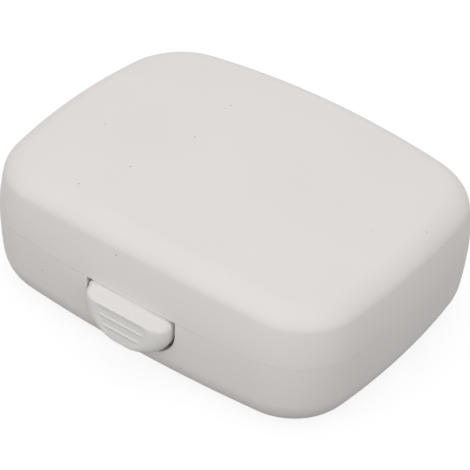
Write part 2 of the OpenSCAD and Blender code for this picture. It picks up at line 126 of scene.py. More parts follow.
# Sunk grip panel with rounded ridges
GRIP_COUNT = 2
GRIP_START = 2.5 * MM
GRIP_PITCH = 2.2 * MM
GRIP_DEPTH = 0.14 * MM
GRIP_WIDTH = 1.05 * MM
GRIP_RISE = 0.15 * MM
GRIP_FADE = 1.2 * MM

# Latch pivot, and the walls round the latch
PIVOT_LIFT = 0.5 * MM
BARREL_R = 1.5 * MM
BARREL_SIDE = 2 * MM
LATCH_PIN_R = 0.7 * MM
PIN_HOLD = 2.5 * MM
PIN_END_GAP = 0.3 * MM
CHEEK_GAP = 0.3 * MM
CHEEK_T = 1.7 * MM
HOUSING_T = 1.5 * MM
HOUSING_TOP = -0.9 * MM
PLATE_T = 1.4 * MM

# Wings that stop the button, and the lid's lip over it, with the slope by which its room clears the button
WING_SIDE = 1.2 * MM
WING_T = 1.2 * MM
WING_H = 4.6 * MM
WING_CLEAR = 0.15 * MM
LIP_EDGE = 0.1 * MM
LIP_RELIEF = 0.05

# Hook behind the button, and the catch in the lid
HOOK_W = 10 * MM
HOOK_H = 2.6 * MM
HOOK_HOLD = 0.6 * MM
HOOK_T = 1.2 * MM
HOOK_GAP = 0.15 * MM
NOSE_H = 0.5 * MM
CATCH_LEDGE = 1.2 * MM
CATCH_LOW = 1 * MM
CATCH_SIDE = 1.5 * MM
CATCH_BREAK = 0.5 * MM

# Latch spring, by how much its curls close up at the ends, and its spigots
SPRING_D = 3.6 * MM
SPRING_WIRE = 0.45 * MM
SPRING_LEN = 5 * MM
SPRING_TURNS = 5
SPRING_CLOSE = 0.45
SPRING_DROP = 3.4 * MM
SEAT_MARGIN = 0.2 * MM
SEAT_GAP = 0.05 * MM
SPIGOT_CLEAR = 0.35 * MM
SPIGOT_H = 1.4 * MM

# Foam: sheet, insert with two bent wells, and pad
SHEET_T = 2 * MM
INSERT_DROP = 1 * MM
PAD_LIFT = 4.8 * MM
FOAM_GAP = 0.2 * MM
GLUE_GAP = 0.05 * MM
WELL_X = 6.5 * MM
WELL_Y = 4.5 * MM
WELL_WIDE = 7 * MM
WELL_NARROW = 5 * MM
WELL_BEND = 17 * MM
WELL_TURN = 52

# Small roundings of the moulded edges
EDGE = 0.15 * MM
WIDE_EDGE = 2 * EDGE
STOP_EDGE = 4 * EDGE
PIN_EDGE = 0.2 * MM
NOTCH_ROUND = 0.3 * MM

# Softness of the cut foam: rounded edges, hollow walls, and uneven faces on a mesh of small voxels
FOAM_ROUND = 0.8 * MM
WELL_HOLLOW = 0.3 * MM
FOAM_VOXEL = 0.4 * MM
FOAM_WAVE = 0.12 * MM
FOAM_WAVE_LENGTH = 7 * MM
SMOOTH_SHARE = 0.5
SMOOTH_ROUNDS = 3

# Steps of the meshes, and the power by which the button's border rings crowd towards the wall
CORNER_STEPS = 28
LONG_STEPS = 48
SHORT_STEPS = 32
EDGE_STEPS = 20
WALL_STEPS = 8
DOME_STEPS = 26
ROUND_STEPS = 5
CIRCLE_STEPS = 64
WELL_STEPS = 24
SPRING_STEPS = 24
SPRING_SIDES = 12
FACE_ROWS = 72
FACE_COLUMNS = 48
RING_CROWDING = 1.5

# How far cutters reach past a piece, and the most of a side that a rounded corner takes
CUT = 1 * MM
CORNER_LIMIT = 0.45

# Digits by which equal heights are told, and the angle of edges that stay sharp
LEVEL_DIGITS = 7
SHARP_ANGLE = math.radians(32)

# Finishes. Colours are 8-bit sRGB, and most of a noise lies within its range
FULL_RANGE = (0, 1)
NOISE_RANGE = (0.3, 0.7)
WHITE = (1, 1, 1, 1)

# Plastic: two clouded tones, waves, grain, and specks whose radius is a share of their spacing
SHELL_COLOURS = ((225, 221, 219), (223, 219, 217))
LATCH_COLOURS = ((226, 223, 221), (224, 221, 218))
CLOUD_SIZE = 22 * MM
WAVE_SIZE = 6 * MM
WAVE_DEPTH = 0.02 * MM
GRAIN_SIZE = 0.28 * MM
GRAIN_DEPTH = 0.006 * MM
PLASTIC_ROUGHNESS = (0.6, 0.7)
PLASTIC_IOR = 1.5
SPECK_COLOUR = (120, 112, 106)
SPECK_SPACING = 4.5 * MM
SPECK_R = 0.045
SPECK_RARITY = 0.55
SPECK_STRENGTH = 0.45

# Foam: two mottled tones, and cells of two sizes that pit its skin
FOAM_COLOURS = ((58, 58, 61), (70, 70, 73))
CELL_SIZE = 0.55 * MM
FINE_CELL_SIZE = 0.24 * MM
FINE_CELL_SHARE = 0.5
MOTTLE_SIZE = 5 * MM
MOTTLE_DETAIL = 4
PIT_COLOUR = (96, 96, 99)
PIT_RANGE = (0.2, 0.9)
PIT_STRENGTH = 0.6
PIT_DEPTH = 0.12 * MM
FOAM_ROUGHNESS = (0.95, 0.8)
FOAM_SHEEN = 0.25
SHEEN_ROUGHNESS = 0.6

# Steel: two tones in fine lines, which are stretched along X
STEEL_COLOURS = ((176, 178, 182), (206, 208, 211))
LINE_SIZE = 0.07 * MM
LINE_DETAIL = 3
LINE_STRETCH = 0.05
LINE_DEPTH = 0.004 * MM
STEEL_ROUGHNESS = (0.22, 0.36)

# Camera at the photo's angle, with its lens and sensor in millimetres as Blender has them
CAMERA_AZIMUTH = 34.44
CAMERA_ELEVATION = 38.72
CAMERA_ROLL = 3.65
CAMERA_DISTANCE = 435.5 * MM
CAMERA_AIM = Vector((3.09, -3.86, 15.5)) * MM
CAMERA_LENS = 171.3
CAMERA_SENSOR = 36
CAMERA_CLIP = (0.01, 50)

# Studio floor: its colour for bounced light and for the camera, and its glow for the camera
STAGE_HALF = 4.0
STAGE_DROP = 0.05 * MM
STAGE_COLOUR = (92, 91, 90)
STAGE_SEEN = (130, 130, 130)
STAGE_GLOW = 0.82
STAGE_ROUGHNESS = 0.9

# Soft boxes by azimuth from the front, elevation and share of the light on a surface that faces them
LAMPS = {
    "front_light": (-13, 18, 0.27),
    "right_light": (62, 24, 0.21),
    "rear_light": (210, 18, 0.15),
}
LAMP_DISTANCE = 3.0
LAMP_SIZE = 2.0
SKY_LEVEL = 0.78


def sin(degrees):
    return math.sin(math.radians(degrees))


def cos(degrees):
    return math.cos(math.radians(degrees))


def ease(share):
    """Smooth step from 0 to 1."""
    share = min(1, max(0, share))
    return share * share * (3 - 2 * share)


def direction(azimuth, elevation):
    """Unit vector by its azimuth, from the front towards the right, and its elevation."""
    return Vector((sin(azimuth) * cos(elevation), -cos(azimuth) * cos(elevation), sin(elevation)))


def arc(centre, radius, start, end, steps):
    """Points on an arc, both ends included, with angles in degrees."""
    turns = np.radians(np.linspace(start, end, steps + 1))
    return np.column_stack([centre[0] + radius * np.cos(turns), centre[1] + radius * np.sin(turns)])


def circle(radius, sides=CIRCLE_STEPS):
    return arc((0, 0), radius, 0, 360, sides)[:-1]


# The bowed outline's corner centres, and each bowed side's radius, centre and half angle
corner_x = CASE_W / 2 - CORNER_R - BOW_SHORT
corner_y = CASE_D / 2 - CORNER_R - BOW_LONG
long_r = (corner_x ** 2 + BOW_LONG ** 2) / (2 * BOW_LONG)
long_c = corner_y + BOW_LONG - long_r
long_a = math.degrees(math.asin(corner_x / long_r))
short_r = (corner_y ** 2 + BOW_SHORT ** 2) / (2 * BOW_SHORT)
short_c = corner_x + BOW_SHORT - short_r
short_a = math.degrees(math.asin(corner_y / short_r))


def bow_back(x):
    """How far the front or rear face has bowed back at a distance x from the middle."""
    radius = long_r + CORNER_R
    return radius - np.sqrt(radius ** 2 - np.square(x))


def outline(inset):
    """The case seen from above, a distance inside its outline at the parting line."""
    radius = CORNER_R - inset
    stretches = [
        arc((short_c, 0), short_r + radius, -short_a, short_a, SHORT_STEPS),
        arc((corner_x, corner_y), radius, short_a, 90 - long_a, CORNER_STEPS),
        arc((0, long_c), long_r + radius, 90 - long_a, 90 + long_a, LONG_STEPS),
        arc((-corner_x, corner_y), radius, 90 + long_a, 180 - short_a, CORNER_STEPS),
        arc((-short_c, 0), short_r + radius, 180 - short_a, 180 + short_a, SHORT_STEPS),
        arc((-corner_x, -corner_y), radius, 180 + short_a, 270 - long_a, CORNER_STEPS),
        arc((0, -long_c), long_r + radius, 270 - long_a, 270 + long_a, LONG_STEPS),
        arc((corner_x, -corner_y), radius, 270 + long_a, 360 - short_a, CORNER_STEPS),
    ]
    return np.vstack([stretch[:-1] for stretch in stretches])


def flat_ring(inset, z):
    points = outline(inset)
    return np.column_stack([points, np.full(len(points), z)])


def inset_polygon(points, distance):
    """A closed outline, drawn anticlockwise, moved inwards by a small distance."""
    along = np.roll(points, -1, axis=0) - np.roll(points, 1, axis=0)
    along /= np.linalg.norm(along, axis=1)[:, None]
    return points + distance * np.column_stack([-along[:, 1], along[:, 0]])


def rounded(corners, radius):
    """A polygon with each corner rounded, by less where its sides are short."""
    corners = [np.array(corner, float) for corner in corners]
    points = []
    for i, corner in enumerate(corners):
        ends = []
        for other in (corners[i - 1], corners[(i + 1) % len(corners)]):
            side = other - corner
            length = np.linalg.norm(side)
            ends.append(corner + side / length * min(radius, CORNER_LIMIT * length))
        for share in np.linspace(0, 1, ROUND_STEPS + 1):
            rest = 1 - share
            points.append(rest ** 2 * ends[0] + 2 * share * rest * corner + share ** 2 * ends[1])
    return np.array(points)


def round_over(radius):
    """Pairs of distances over a quarter round: how far in, and how far short of the face."""
    turns = np.linspace(0, 90, ROUND_STEPS + 1)
    return [(radius * (1 - cos(turn)), radius * (1 - sin(turn))) for turn in turns]


def add_object(name, data):
    added = bpy.data.objects.new(name, data)
    bpy.context.scene.collection.objects.link(added)
    return added


def mesh_piece(name, vertices, faces):
    mesh = bpy.data.meshes.new(name)
    mesh.from_pydata([tuple(vertex) for vertex in vertices], [], faces)
    mesh.validate()
    return add_object(name, mesh)


def skin(rings):
    """Faces between neighbouring rings of equally many points, which are numbered ring by ring."""
    count = len(rings[0])
    faces = []
    for low in range(0, (len(rings) - 1) * count, count):
        for i in range(count):
            j = (i + 1) % count
            faces.append((low + i, low + j, low + count + j, low + count + i))
    return faces


def loft(name, rings, first=None, last=None):
    """A closed skin over rings of equally many points, ended by a flat face or by a fan to a point."""
    count = len(rings[0])
    top = (len(rings) - 1) * count
    vertices = [point for ring in rings for point in ring]
    faces = skin(rings)
    if first is None:
        faces.append(tuple(reversed(range(count))))
    else:
        faces += [((i + 1) % count, i, len(vertices)) for i in range(count)]
        vertices.append(first)
    if last is None:
        faces.append(tuple(range(top, top + count)))
    else:
        faces += [(top + i, top + (i + 1) % count, len(vertices)) for i in range(count)]
        vertices.append(last)
    return mesh_piece(name, vertices, faces)


def prism(name, profile, low, high, place, edge=EDGE):
    """A flat profile swept along X with rounded ends; place turns x and the profile into points."""
    ends = round_over(edge)
    rings = [place(low + inwards, inset_polygon(profile, short)) for inwards, short in ends]
    rings += [place(high - inwards, inset_polygon(profile, short)) for inwards, short in reversed(ends)]
    return loft(name, rings)


def bar(name, radius, low, high, place):
    """Plain round bar along X, for a bore or a relief."""
    return loft(name, [place(low, circle(radius)), place(high, circle(radius))])


def across(y, z):
    """A way to place points at an x that are drawn as [backward, up] from a line along X."""
    def place(x, points):
        return np.column_stack([np.full(len(points), x), points[:, 0] + y, points[:, 1] + z])
    return place


behind_front = across(-CASE_D / 2, PARTING_H)
about_hinge = across(hinge_point.y, hinge_point.z)
about_pivot = across(pivot_point.y, pivot_point.z)


def along_spring(y, points):
    """Points round the spring's axis, which runs backwards from the hook."""
    z = points[:, 1] + PARTING_H - SPRING_DROP
    return np.column_stack([points[:, 0], np.full(len(points), y - CASE_D / 2), z])


wall_lean = math.degrees(math.atan(BASE_DRAFT / PARTING_H))


def on_front_wall(points):
    """Points that are drawn on the leaning flat behind the curved front wall: X right, Y up, Z out."""
    x, up, out = np.asarray(points, float).T
    y = -up * sin(wall_lean) - out * cos(wall_lean) - CASE_D / 2
    z = up * cos(wall_lean) - out * sin(wall_lean) + PARTING_H
    return np.column_stack([x, y, z])


def apply_modifiers(piece):
    evaluated = piece.evaluated_get(bpy.context.evaluated_depsgraph_get())
    mesh = bpy.data.meshes.new_from_object(evaluated)
    piece.modifiers.clear()
    piece.data = mesh


def combine(piece, tool, operation):
    """Cuts a tool from a piece or joins it on, and removes the tool."""
    change = piece.modifiers.new("change", "BOOLEAN")
    change.operation = operation
    change.solver = "MANIFOLD"
    change.object = tool
    bpy.context.view_layer.update()
    apply_modifiers(piece)
    bpy.data.objects.remove(tool)


def cut(piece, *tools):
    for tool in tools:
        combine(piece, tool, "DIFFERENCE")


def join(piece, *tools):
    for tool in tools:
        combine(piece, tool, "UNION")


def dress(piece, body, node, material):
    """Smooth shading and finish; the piece goes with its body, and the CAD solid that it stands in for is
    hidden.
    """
    piece.data.shade_smooth()
    piece.data.set_sharp_from_angle(angle=SHARP_ANGLE)
    even = piece.modifiers.new("even_normals", "WEIGHTED_NORMAL")
    even.keep_sharp = True
    piece.data.materials.clear()
    piece.data.materials.append(material)
    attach(piece, body)
    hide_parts(node)


# The latch: up the front wall's leaning flat, sideways, and inwards from the wall
pivot_up = (pivot_point.z - PARTING_H) * cos(wall_lean) - (pivot_point.y + CASE_D / 2) * sin(wall_lean)
pivot_in = (pivot_point.z - PARTING_H) * sin(wall_lean) + (pivot_point.y + CASE_D / 2) * cos(wall_lean)
button_bottom = pivot_up - PIVOT_LIFT
button_top = button_bottom + BUTTON_H
press_arm = BUTTON_H - PIVOT_LIFT
grip_levels = [button_top - BEVEL_H - GRIP_START - i * GRIP_PITCH for i in range(GRIP_COUNT)]
notch_half = BUTTON_W / 2 + BUTTON_GAP
barrel_half = BUTTON_W / 2 + BARREL_SIDE
cheek_x = barrel_half + CHEEK_GAP
cheek_out = cheek_x + CHEEK_T
catch_reach = WALL + CATCH_LEDGE
arm_in = catch_reach + 2 * HOOK_GAP
arm_out = arm_in + HOOK_T
housing_in = arm_out + SPRING_LEN + 2 * SEAT_GAP
housing_out = housing_in + HOUSING_T
spigot_r = SPRING_D / 2 - SPRING_WIRE - SPIGOT_CLEAR
plate_back = WALL + PLATE_T

# Where the knuckles lie along the hinge axis, and how far they are rooted in the wall
lid_knuckle_x = LID_KNUCKLE_W / 2
base_knuckle_x = lid_knuckle_x + KNUCKLE_GAP
base_knuckle_end = base_knuckle_x + BASE_KNUCKLE_W
knuckle_root = -(HINGE_OUT + WALL / 2)


def base_lean(z):
    """How far the base's wall has curved in at a height, from upright at the parting line."""
    return BASE_DRAFT * max(0, 1 - z / PARTING_H) ** WALL_CURVE


def base_inset(z, depth):
    """Inset of the base's surface at a height, a depth inside its outer face."""
    level = z - depth * FLOOR_T / WALL
    q = min(1, max(0, 1 - level / BASE_EDGE_H))
    return BASE_EDGE_W * (1 - math.sqrt(1 - q ** 2)) + base_lean(z) + depth


def base_ring(z, depth):
    return flat_ring(base_inset(z, depth), z)


def base_levels(depth):
    """Heights of the rings round the rounded bottom edge, a depth inside the outer face."""
    turns = np.linspace(0, 90, EDGE_STEPS + 1)
    return [BASE_EDGE_H * (1 - cos(turn)) + depth * FLOOR_T / WALL for turn in turns]


def lid_lean(z):
    """How far the lid's wall has curved in at a height, from upright at the parting line."""
    return LID_DRAFT * max(0, (z - PARTING_H) / LID_H) ** WALL_CURVE


def lid_level(z, edge_in, depth):
    """Ring of the lid at a height, a depth inside its outer face, lowered as the dome is."""
    points = outline(edge_in + lid_lean(z) + depth)
    drop = (z - PARTING_H) / LID_H * (points ** 2).sum(axis=1) / (2 * CROWN_R)
    return np.column_stack([points, z - depth - drop])


def lid_ring(angle, depth):
    """Ring on the lid's rounded upper edge."""
    return lid_level(CASE_H - LID_EDGE_H * (1 - sin(angle)), LID_EDGE_W * (1 - cos(angle)), depth)


def lid_face(depth):
    """The lid's face from its rounded edge to the middle of the dome."""
    rings = [lid_ring(turn, depth) for turn in np.linspace(0, 90, EDGE_STEPS + 1)]
    for share in np.linspace(1, 0, DOME_STEPS, endpoint=False)[1:]:
        points = share * rings[EDGE_STEPS][:, :2]
        z = CASE_H - depth - (points ** 2).sum(axis=1) / (2 * CROWN_R)
        rings.append(np.column_stack([points, z]))
    return rings


def between(first, last):
    """Heights of the rings up or down a wall, without its two ends."""
    return np.linspace(first, last, WALL_STEPS + 1)[1:-1]


class DShape(namedtuple("DShape", "half_w top bottom top_r bottom_r")):
    """Outline with a flat top and round corners, as the button and its notch have."""

    @property
    def side_low(self):
        return self.bottom + self.bottom_r

    @property
    def side_high(self):
        return self.top - self.top_r

    def points(self):
        low_x = self.half_w - self.bottom_r
        high_x = self.half_w - self.top_r
        return np.vstack([
            arc((low_x, self.side_low), self.bottom_r, -90, 0, EDGE_STEPS),
            arc((high_x, self.side_high), self.top_r, 0, 90, ROUND_STEPS),
            arc((-high_x, self.side_high), self.top_r, 90, 180, ROUND_STEPS),
            arc((-low_x, self.side_low), self.bottom_r, 180, 270, EDGE_STEPS),
        ])


def wall_swell(up):
    """How far the curved front wall stands out of the flat that the latch is drawn on."""
    z = PARTING_H + min(0, up) * cos(wall_lean)
    return BASE_DRAFT * (1 - z / PARTING_H) - base_lean(z)


def notch_cutter():
    """The notch for the button, up past the rim, widening by a small round where it meets the outer face."""
    notch_top = RIM_H + BUTTON_BULGE
    levels = [(0, -WALL - bow_back(notch_half) - CUT)]
    levels += [(wider, -short) for wider, short in round_over(NOTCH_ROUND)[:-1]]
    levels.append((levels[-1][0], CUT))
    rings = []
    for wider, out in levels:
        points = DShape(notch_half + wider, notch_top, button_bottom - BUTTON_GAP - wider,
                        BUTTON_GAP, BUTTON_CORNER_R + BUTTON_GAP + wider).points()
        swell = [wall_swell(up) for up in points[:, 1]]
        rings.append(on_front_wall(np.column_stack([points, out - bow_back(points[:, 0]) + swell])))
    return loft("notch_cutter", rings)


def spigot(name, root, tip):
    """Round spigot that centres the spring, with a rounded tip."""
    way = 1 if tip > root else -1
    rings = [along_spring(root, circle(spigot_r))]
    for inwards, short in round_over(WIDE_EDGE):
        rings.append(along_spring(tip - way * short, circle(spigot_r - inwards)))
    return loft(name, rings[::-way])


def latch_housing():
    """Cheeks beside the latch and the wall behind it, rooted halfway into the base's wall and floor."""
    root = WALL / 2
    floor_mid = FLOOR_T / 2 - PARTING_H
    root_line = [(base_inset(z, root), z - PARTING_H) for z in base_levels(root)]
    root_line.append((base_inset(PARTING_H, root), HOUSING_TOP))
    rear_corner = arc((housing_out - WIDE_EDGE, HOUSING_TOP - WIDE_EDGE), WIDE_EDGE, 90, 0, ROUND_STEPS)
    cheek = np.vstack([root_line, rear_corner, [(housing_out, floor_mid)]])[::-1]
    back_wall = rounded([(housing_in, floor_mid), (housing_out, floor_mid), (housing_out, HOUSING_TOP),
                         (housing_in, HOUSING_TOP)], WIDE_EDGE)
    back_half = cheek_x + CHEEK_T / 2
    return [
        prism("left_cheek", cheek, -cheek_out, -cheek_x, behind_front),
        prism("right_cheek", cheek, cheek_x, cheek_out, behind_front),
        prism("spring_wall", back_wall, -back_half, back_half, behind_front),
        spigot("rear_spigot", housing_in + HOUSING_T / 2, housing_in - SPIGOT_H),
    ]


# Height at which the opened lid's rear wall reaches the stop, above the axis
stop_angle = lid_open + STOP_MARGIN
lid_slope = lid_lean(PARTING_H + STOP_REACH) / STOP_REACH
stop_wall = (STOP_REACH + HINGE_OUT * cos(stop_angle)) / (sin(stop_angle) - lid_slope * cos(stop_angle))
stop_top = (HINGE_OUT + lid_slope * stop_wall) * sin(stop_angle) + stop_wall * cos(stop_angle)


def base_knuckles():
    """Outer knuckles, each with a block that roots it in the wall and stops the opened lid."""
    block = rounded([(knuckle_root, stop_top), (knuckle_root, -KNUCKLE_WEB), (STOP_REACH, -STOP_H),
                     (STOP_REACH, stop_top)], STOP_EDGE)
    made = []
    for side, low in (("left", -base_knuckle_end), ("right", base_knuckle_x)):
        made.append(prism(side + "_knuckle", circle(KNUCKLE_R), low, low + BASE_KNUCKLE_W, about_hinge))
        made.append(prism(side + "_stop", block, low, low + BASE_KNUCKLE_W, about_hinge))
    return made


def lid_knuckle():
    """Middle knuckle, and its web up the lid's rear wall."""
    web = rounded([(knuckle_root, WEB_START), (KNUCKLE_R - WEB_START, WEB_START),
                   (knuckle_root - lid_lean(PARTING_H + KNUCKLE_WEB), KNUCKLE_WEB)], WIDE_EDGE)
    return [
        prism("middle_knuckle", circle(KNUCKLE_R), -lid_knuckle_x, lid_knuckle_x, about_hinge),
        prism("middle_web", web, -lid_knuckle_x, lid_knuckle_x, about_hinge),
    ]


def knuckle_room(name, low, high):
    """Room in one shell for the other's knuckle."""
    return bar(name, KNUCKLE_R + KNUCKLE_RELIEF, low - KNUCKLE_GAP, high + KNUCKLE_GAP, about_hinge)


def make_base_shell():
    """Lower shell: tub, locating rim, latch notch and walls, and the outer knuckles."""
    seam_z = PARTING_H - SEAM / 2
    rim_z = PARTING_H + RIM_H
    rim_in = WALL - RIM_T
    rim_round = round_over(RIM_ROUND)
    rings = [base_ring(z, 0) for z in base_levels(0)]
    rings += [base_ring(z, 0) for z in between(BASE_EDGE_H, seam_z - SEAM_ROUND)]
    rings += [flat_ring(base_inset(seam_z - short, 0) + inwards, seam_z - short)
              for inwards, short in round_over(SEAM_ROUND)]
    rings.append(flat_ring(rim_in, seam_z))
    rings += [flat_ring(rim_in + inwards, rim_z - short) for inwards, short in rim_round]
    rings += [flat_ring(WALL - inwards, rim_z - short) for inwards, short in reversed(rim_round)]
    rings += [base_ring(z, WALL) for z in between(rim_z, BASE_EDGE_H + FLOOR_T)]
    rings += [base_ring(z, WALL) for z in reversed(base_levels(WALL))]
    shell = loft("base_shell_moulded", rings)
    cut(shell, notch_cutter(), knuckle_room("base_relief", -lid_knuckle_x, lid_knuckle_x))
    join(shell, *latch_housing(), *base_knuckles())
    bore_end = base_knuckle_end + CUT
    cut(shell, bar("hinge_bore", PIN_R + HINGE_SNUG, -bore_end, bore_end, about_hinge))
    for low, high in ((-cheek_out - CUT, -barrel_half), (barrel_half, cheek_out + CUT)):
        cut(shell, bar("pin_bore", LATCH_PIN_R + HINGE_SNUG, low, high, about_pivot))
    return shell


def press_room():
    """Room behind the lid's lip, sloped a little more than the path of the button's top edge."""
    rise = pivot_in / press_arm + LIP_RELIEF
    profile = np.array([(LIP_EDGE, SEAM / 2), (LIP_EDGE, -CUT), (WALL, -CUT),
                        (WALL, SEAM / 2 + (WALL - LIP_EDGE) * rise)])
    return loft("press_room", [behind_front(-notch_half, profile), behind_front(notch_half, profile)])


def lid_catch():
    """Ledge inside the lid's front wall, under the hook."""
    top = HOOK_H - HOOK_GAP
    root = WALL / 4
    profile = rounded([(root, CATCH_LOW), (catch_reach - CATCH_BREAK, CATCH_LOW),
                       (catch_reach, CATCH_LOW + CATCH_BREAK), (catch_reach, top), (root, top)], EDGE)
    half = HOOK_W / 2 + CATCH_SIDE
    return prism("lid_catch", profile, -half, half, behind_front)


def make_lid_shell():
    """Upper shell: domed lid with a groove for the locating rim, the catch and the middle knuckle."""
    skirt_t = WALL - RIM_T - RIM_GAP
    skirt_z = PARTING_H + SEAM / 2
    groove_z = PARTING_H + RIM_H + RIM_GAP
    shoulder_z = CASE_H - LID_EDGE_H
    rings = lid_face(WALL)[::-1]
    rings += [lid_level(z, 0, WALL) for z in between(shoulder_z, groove_z + WALL)]
    rings += [flat_ring(WALL + lid_lean(groove_z), groove_z), flat_ring(skirt_t, groove_z)]
    rings += [flat_ring(skirt_t, skirt_z + EDGE), flat_ring(skirt_t - EDGE, skirt_z)]
    rings += [flat_ring(lid_lean(skirt_z + short) + inwards, skirt_z + short)
              for inwards, short in reversed(round_over(SEAM_ROUND))]
    rings += [lid_level(z, 0, 0) for z in between(skirt_z + SEAM_ROUND, shoulder_z)]
    rings += lid_face(0)
    shell = loft("lid_shell_moulded", rings, (0, 0, CASE_H - WALL), (0, 0, CASE_H))
    cut(shell, knuckle_room("left_relief", -base_knuckle_end, -base_knuckle_x),
        knuckle_room("right_relief", base_knuckle_x, base_knuckle_end), press_room())
    join(shell, lid_catch(), *lid_knuckle())
    bore_end = lid_knuckle_x + CUT
    cut(shell, bar("lid_bore", PIN_R + HINGE_RUN, -bore_end, bore_end, about_hinge))
    return shell


def bevel_drop(share):
    """How far the bevel is down where it is out by a share: a short upright step, then a slope."""
    return BEVEL_STEP * ease(share / STEP_SHARE) + (BEVEL_H - BEVEL_STEP) * share


def button_shape(turn):
    """The button's outline where its rounded border has turned so far, from the wall to the face."""
    side_in = SIDE_ROUND * (1 - cos(turn))
    return DShape(
        half_w=BUTTON_W / 2 - side_in,
        top=button_top - bevel_drop(sin(turn)),
        bottom=button_bottom + LOWER_ROUND * (1 - cos(turn)),
        top_r=BUTTON_TOP_R * (1 - sin(turn) / 2),
        bottom_r=BUTTON_CORNER_R - side_in * CORNER_SHARE,
    )


def button_rows(face):
    """Rows up the button's face, each as the stretch of the outline that it ends on and a share of that."""
    levels = [face.bottom + face.bottom_r * (1 - cos(turn)) for turn in np.linspace(0, 90, FACE_ROWS + 1)]
    levels += list(np.linspace(face.side_low, face.top, FACE_ROWS + 1))
    rows = []
    for y in sorted({round(level, LEVEL_DIGITS) for level in levels}):
        if y < face.side_low:
            turn = math.degrees(math.acos(1 - max(0, y - face.bottom) / face.bottom_r))
            rows.append(("lower", turn / 90))
        elif y <= face.side_high:
            rows.append(("side", (y - face.side_low) / (face.side_high - face.side_low)))
        else:
            turn = math.degrees(math.asin(min(1, (y - face.side_high) / face.top_r)))
            rows.append(("upper", turn / 90))
    return rows


def side_point(row, shape):
    """Point at a row's right end on an outline."""
    stretch, share = row
    turn = 90 * share
    half_w, top, bottom, top_r, bottom_r = shape
    if stretch == "lower":
        return half_w - bottom_r * (1 - sin(turn)), bottom + bottom_r * (1 - cos(turn))
    if stretch == "side":
        return half_w, shape.side_low + share * (shape.side_high - shape.side_low)
    return half_w - top_r * (1 - cos(turn)), top - top_r * (1 - sin(turn))


def face_out(y):
    """How far the button's face stands out of the wall, drooping below the lowest grip ridge."""
    droop = max(0, (grip_levels[-1] - y) / (grip_levels[-1] - button_bottom))
    return BUTTON_BULGE + LOWER_BULGE * (button_top - y) / BUTTON_H - LOWER_DROOP * droop ** 2


def grip_depth(x, y, half_w):
    """Depth of the sunk grip panel, with its rounded ridges, which fades out at its borders."""
    high = button_top - BEVEL_H
    low = button_bottom + LOWER_ROUND
    inside = half_w - abs(x)
    sunk = ease(inside / GRIP_FADE) * ease((high - y) / GRIP_WIDTH) * ease((y - low) / GRIP_PITCH)
    ridge = 0
    for level in grip_levels:
        off = abs(y - level)
        if off < GRIP_WIDTH / 2:
            ridge += GRIP_RISE * (1 + cos(360 * off / GRIP_WIDTH)) / 2
    return GRIP_DEPTH * sunk - ridge * ease(2 * inside / GRIP_FADE - 1)


def button_body():
    """The bulging D-shaped button: rounded border rings, and a face of rows with the grip ridges."""
    back = button_shape(0)
    face = button_shape(90)
    rows = button_rows(face)
    columns = np.linspace(-1, 1, FACE_COLUMNS + 1)

    def border(shape, out, bulge=0):
        right = [side_point(row, shape) for row in rows]
        points = [(c * right[0][0], shape.bottom) for c in columns] + right[1:]
        points += [(-c * right[-1][0], shape.top) for c in columns[1:]]
        points += [(-x, y) for x, y in reversed(right[1:-1])]
        return [(x, y, out + bulge * face_out(y)) for x, y in points]

    rear = back._replace(half_w=back.half_w - EDGE, top=back.top - EDGE, bottom=back.bottom + EDGE,
                         bottom_r=back.bottom_r - EDGE)
    rings = [border(rear, -plate_back), border(back, EDGE - plate_back)]
    turns = 90 * np.linspace(0, 1, EDGE_STEPS + 1) ** RING_CROWDING
    rings += [border(button_shape(turn), 0, sin(turn)) for turn in turns]
    count = len(rings[0])
    points = [point for ring in rings for point in ring]
    faces = [tuple(reversed(range(count)))] + skin(rings)

    # Vertex numbers of each row of the face, which ends on the last ring
    start = (len(rings) - 1) * count
    last_row = len(rows) - 1
    grid = [[start + i for i in range(FACE_COLUMNS + 1)]]
    for j in range(1, last_row):
        half_w, y = side_point(rows[j], face)
        inside = []
        for c in columns[1:-1]:
            inside.append(len(points))
            points.append((c * half_w, y, face_out(y) - grip_depth(c * half_w, y, half_w)))
        grid.append([start + count - j] + inside + [start + FACE_COLUMNS + j])
    grid.append([start + 2 * FACE_COLUMNS + last_row - i for i in range(FACE_COLUMNS + 1)])
    for lower, upper in zip(grid, grid[1:]):
        for i in range(FACE_COLUMNS):
            faces.append((lower[i], lower[i + 1], upper[i + 1], upper[i]))
    return mesh_piece("latch_button_moulded", on_front_wall(points), faces)


def stop_wings():
    """Plate behind the wall that stops the button from coming out."""
    half = notch_half + WING_SIDE
    front = -(WALL + bow_back(half) + WING_CLEAR)
    back = front - WING_T
    top = button_top - WING_SIDE
    bottom = top - WING_H
    profile = rounded([(bottom, back), (top, back), (top, front), (bottom, front)], EDGE)

    def place(x, points):
        return on_front_wall(np.column_stack([np.full(len(points), x), points]))

    return prism("stop_wings", profile, -half, half, place)


def hook():
    """Arm behind the button that rises into the lid, with a sloped nose and a seat for the spring."""
    nose_in = catch_reach - HOOK_HOLD
    tip = HOOK_H + NOSE_H + arm_in - nose_in
    seat_half = SPRING_D / 2 + SEAT_MARGIN
    seat_top = seat_half - SPRING_DROP
    seat_bottom = -seat_half - SPRING_DROP
    root = WALL / 2
    profile = rounded([(root, seat_bottom), (arm_out, seat_bottom), (arm_out, tip), (arm_in, tip),
                       (nose_in, HOOK_H + NOSE_H), (nose_in, HOOK_H), (arm_in, HOOK_H), (arm_in, seat_top),
                       (root, seat_top)], EDGE)
    return prism("hook", profile, -HOOK_W / 2, HOOK_W / 2, behind_front)


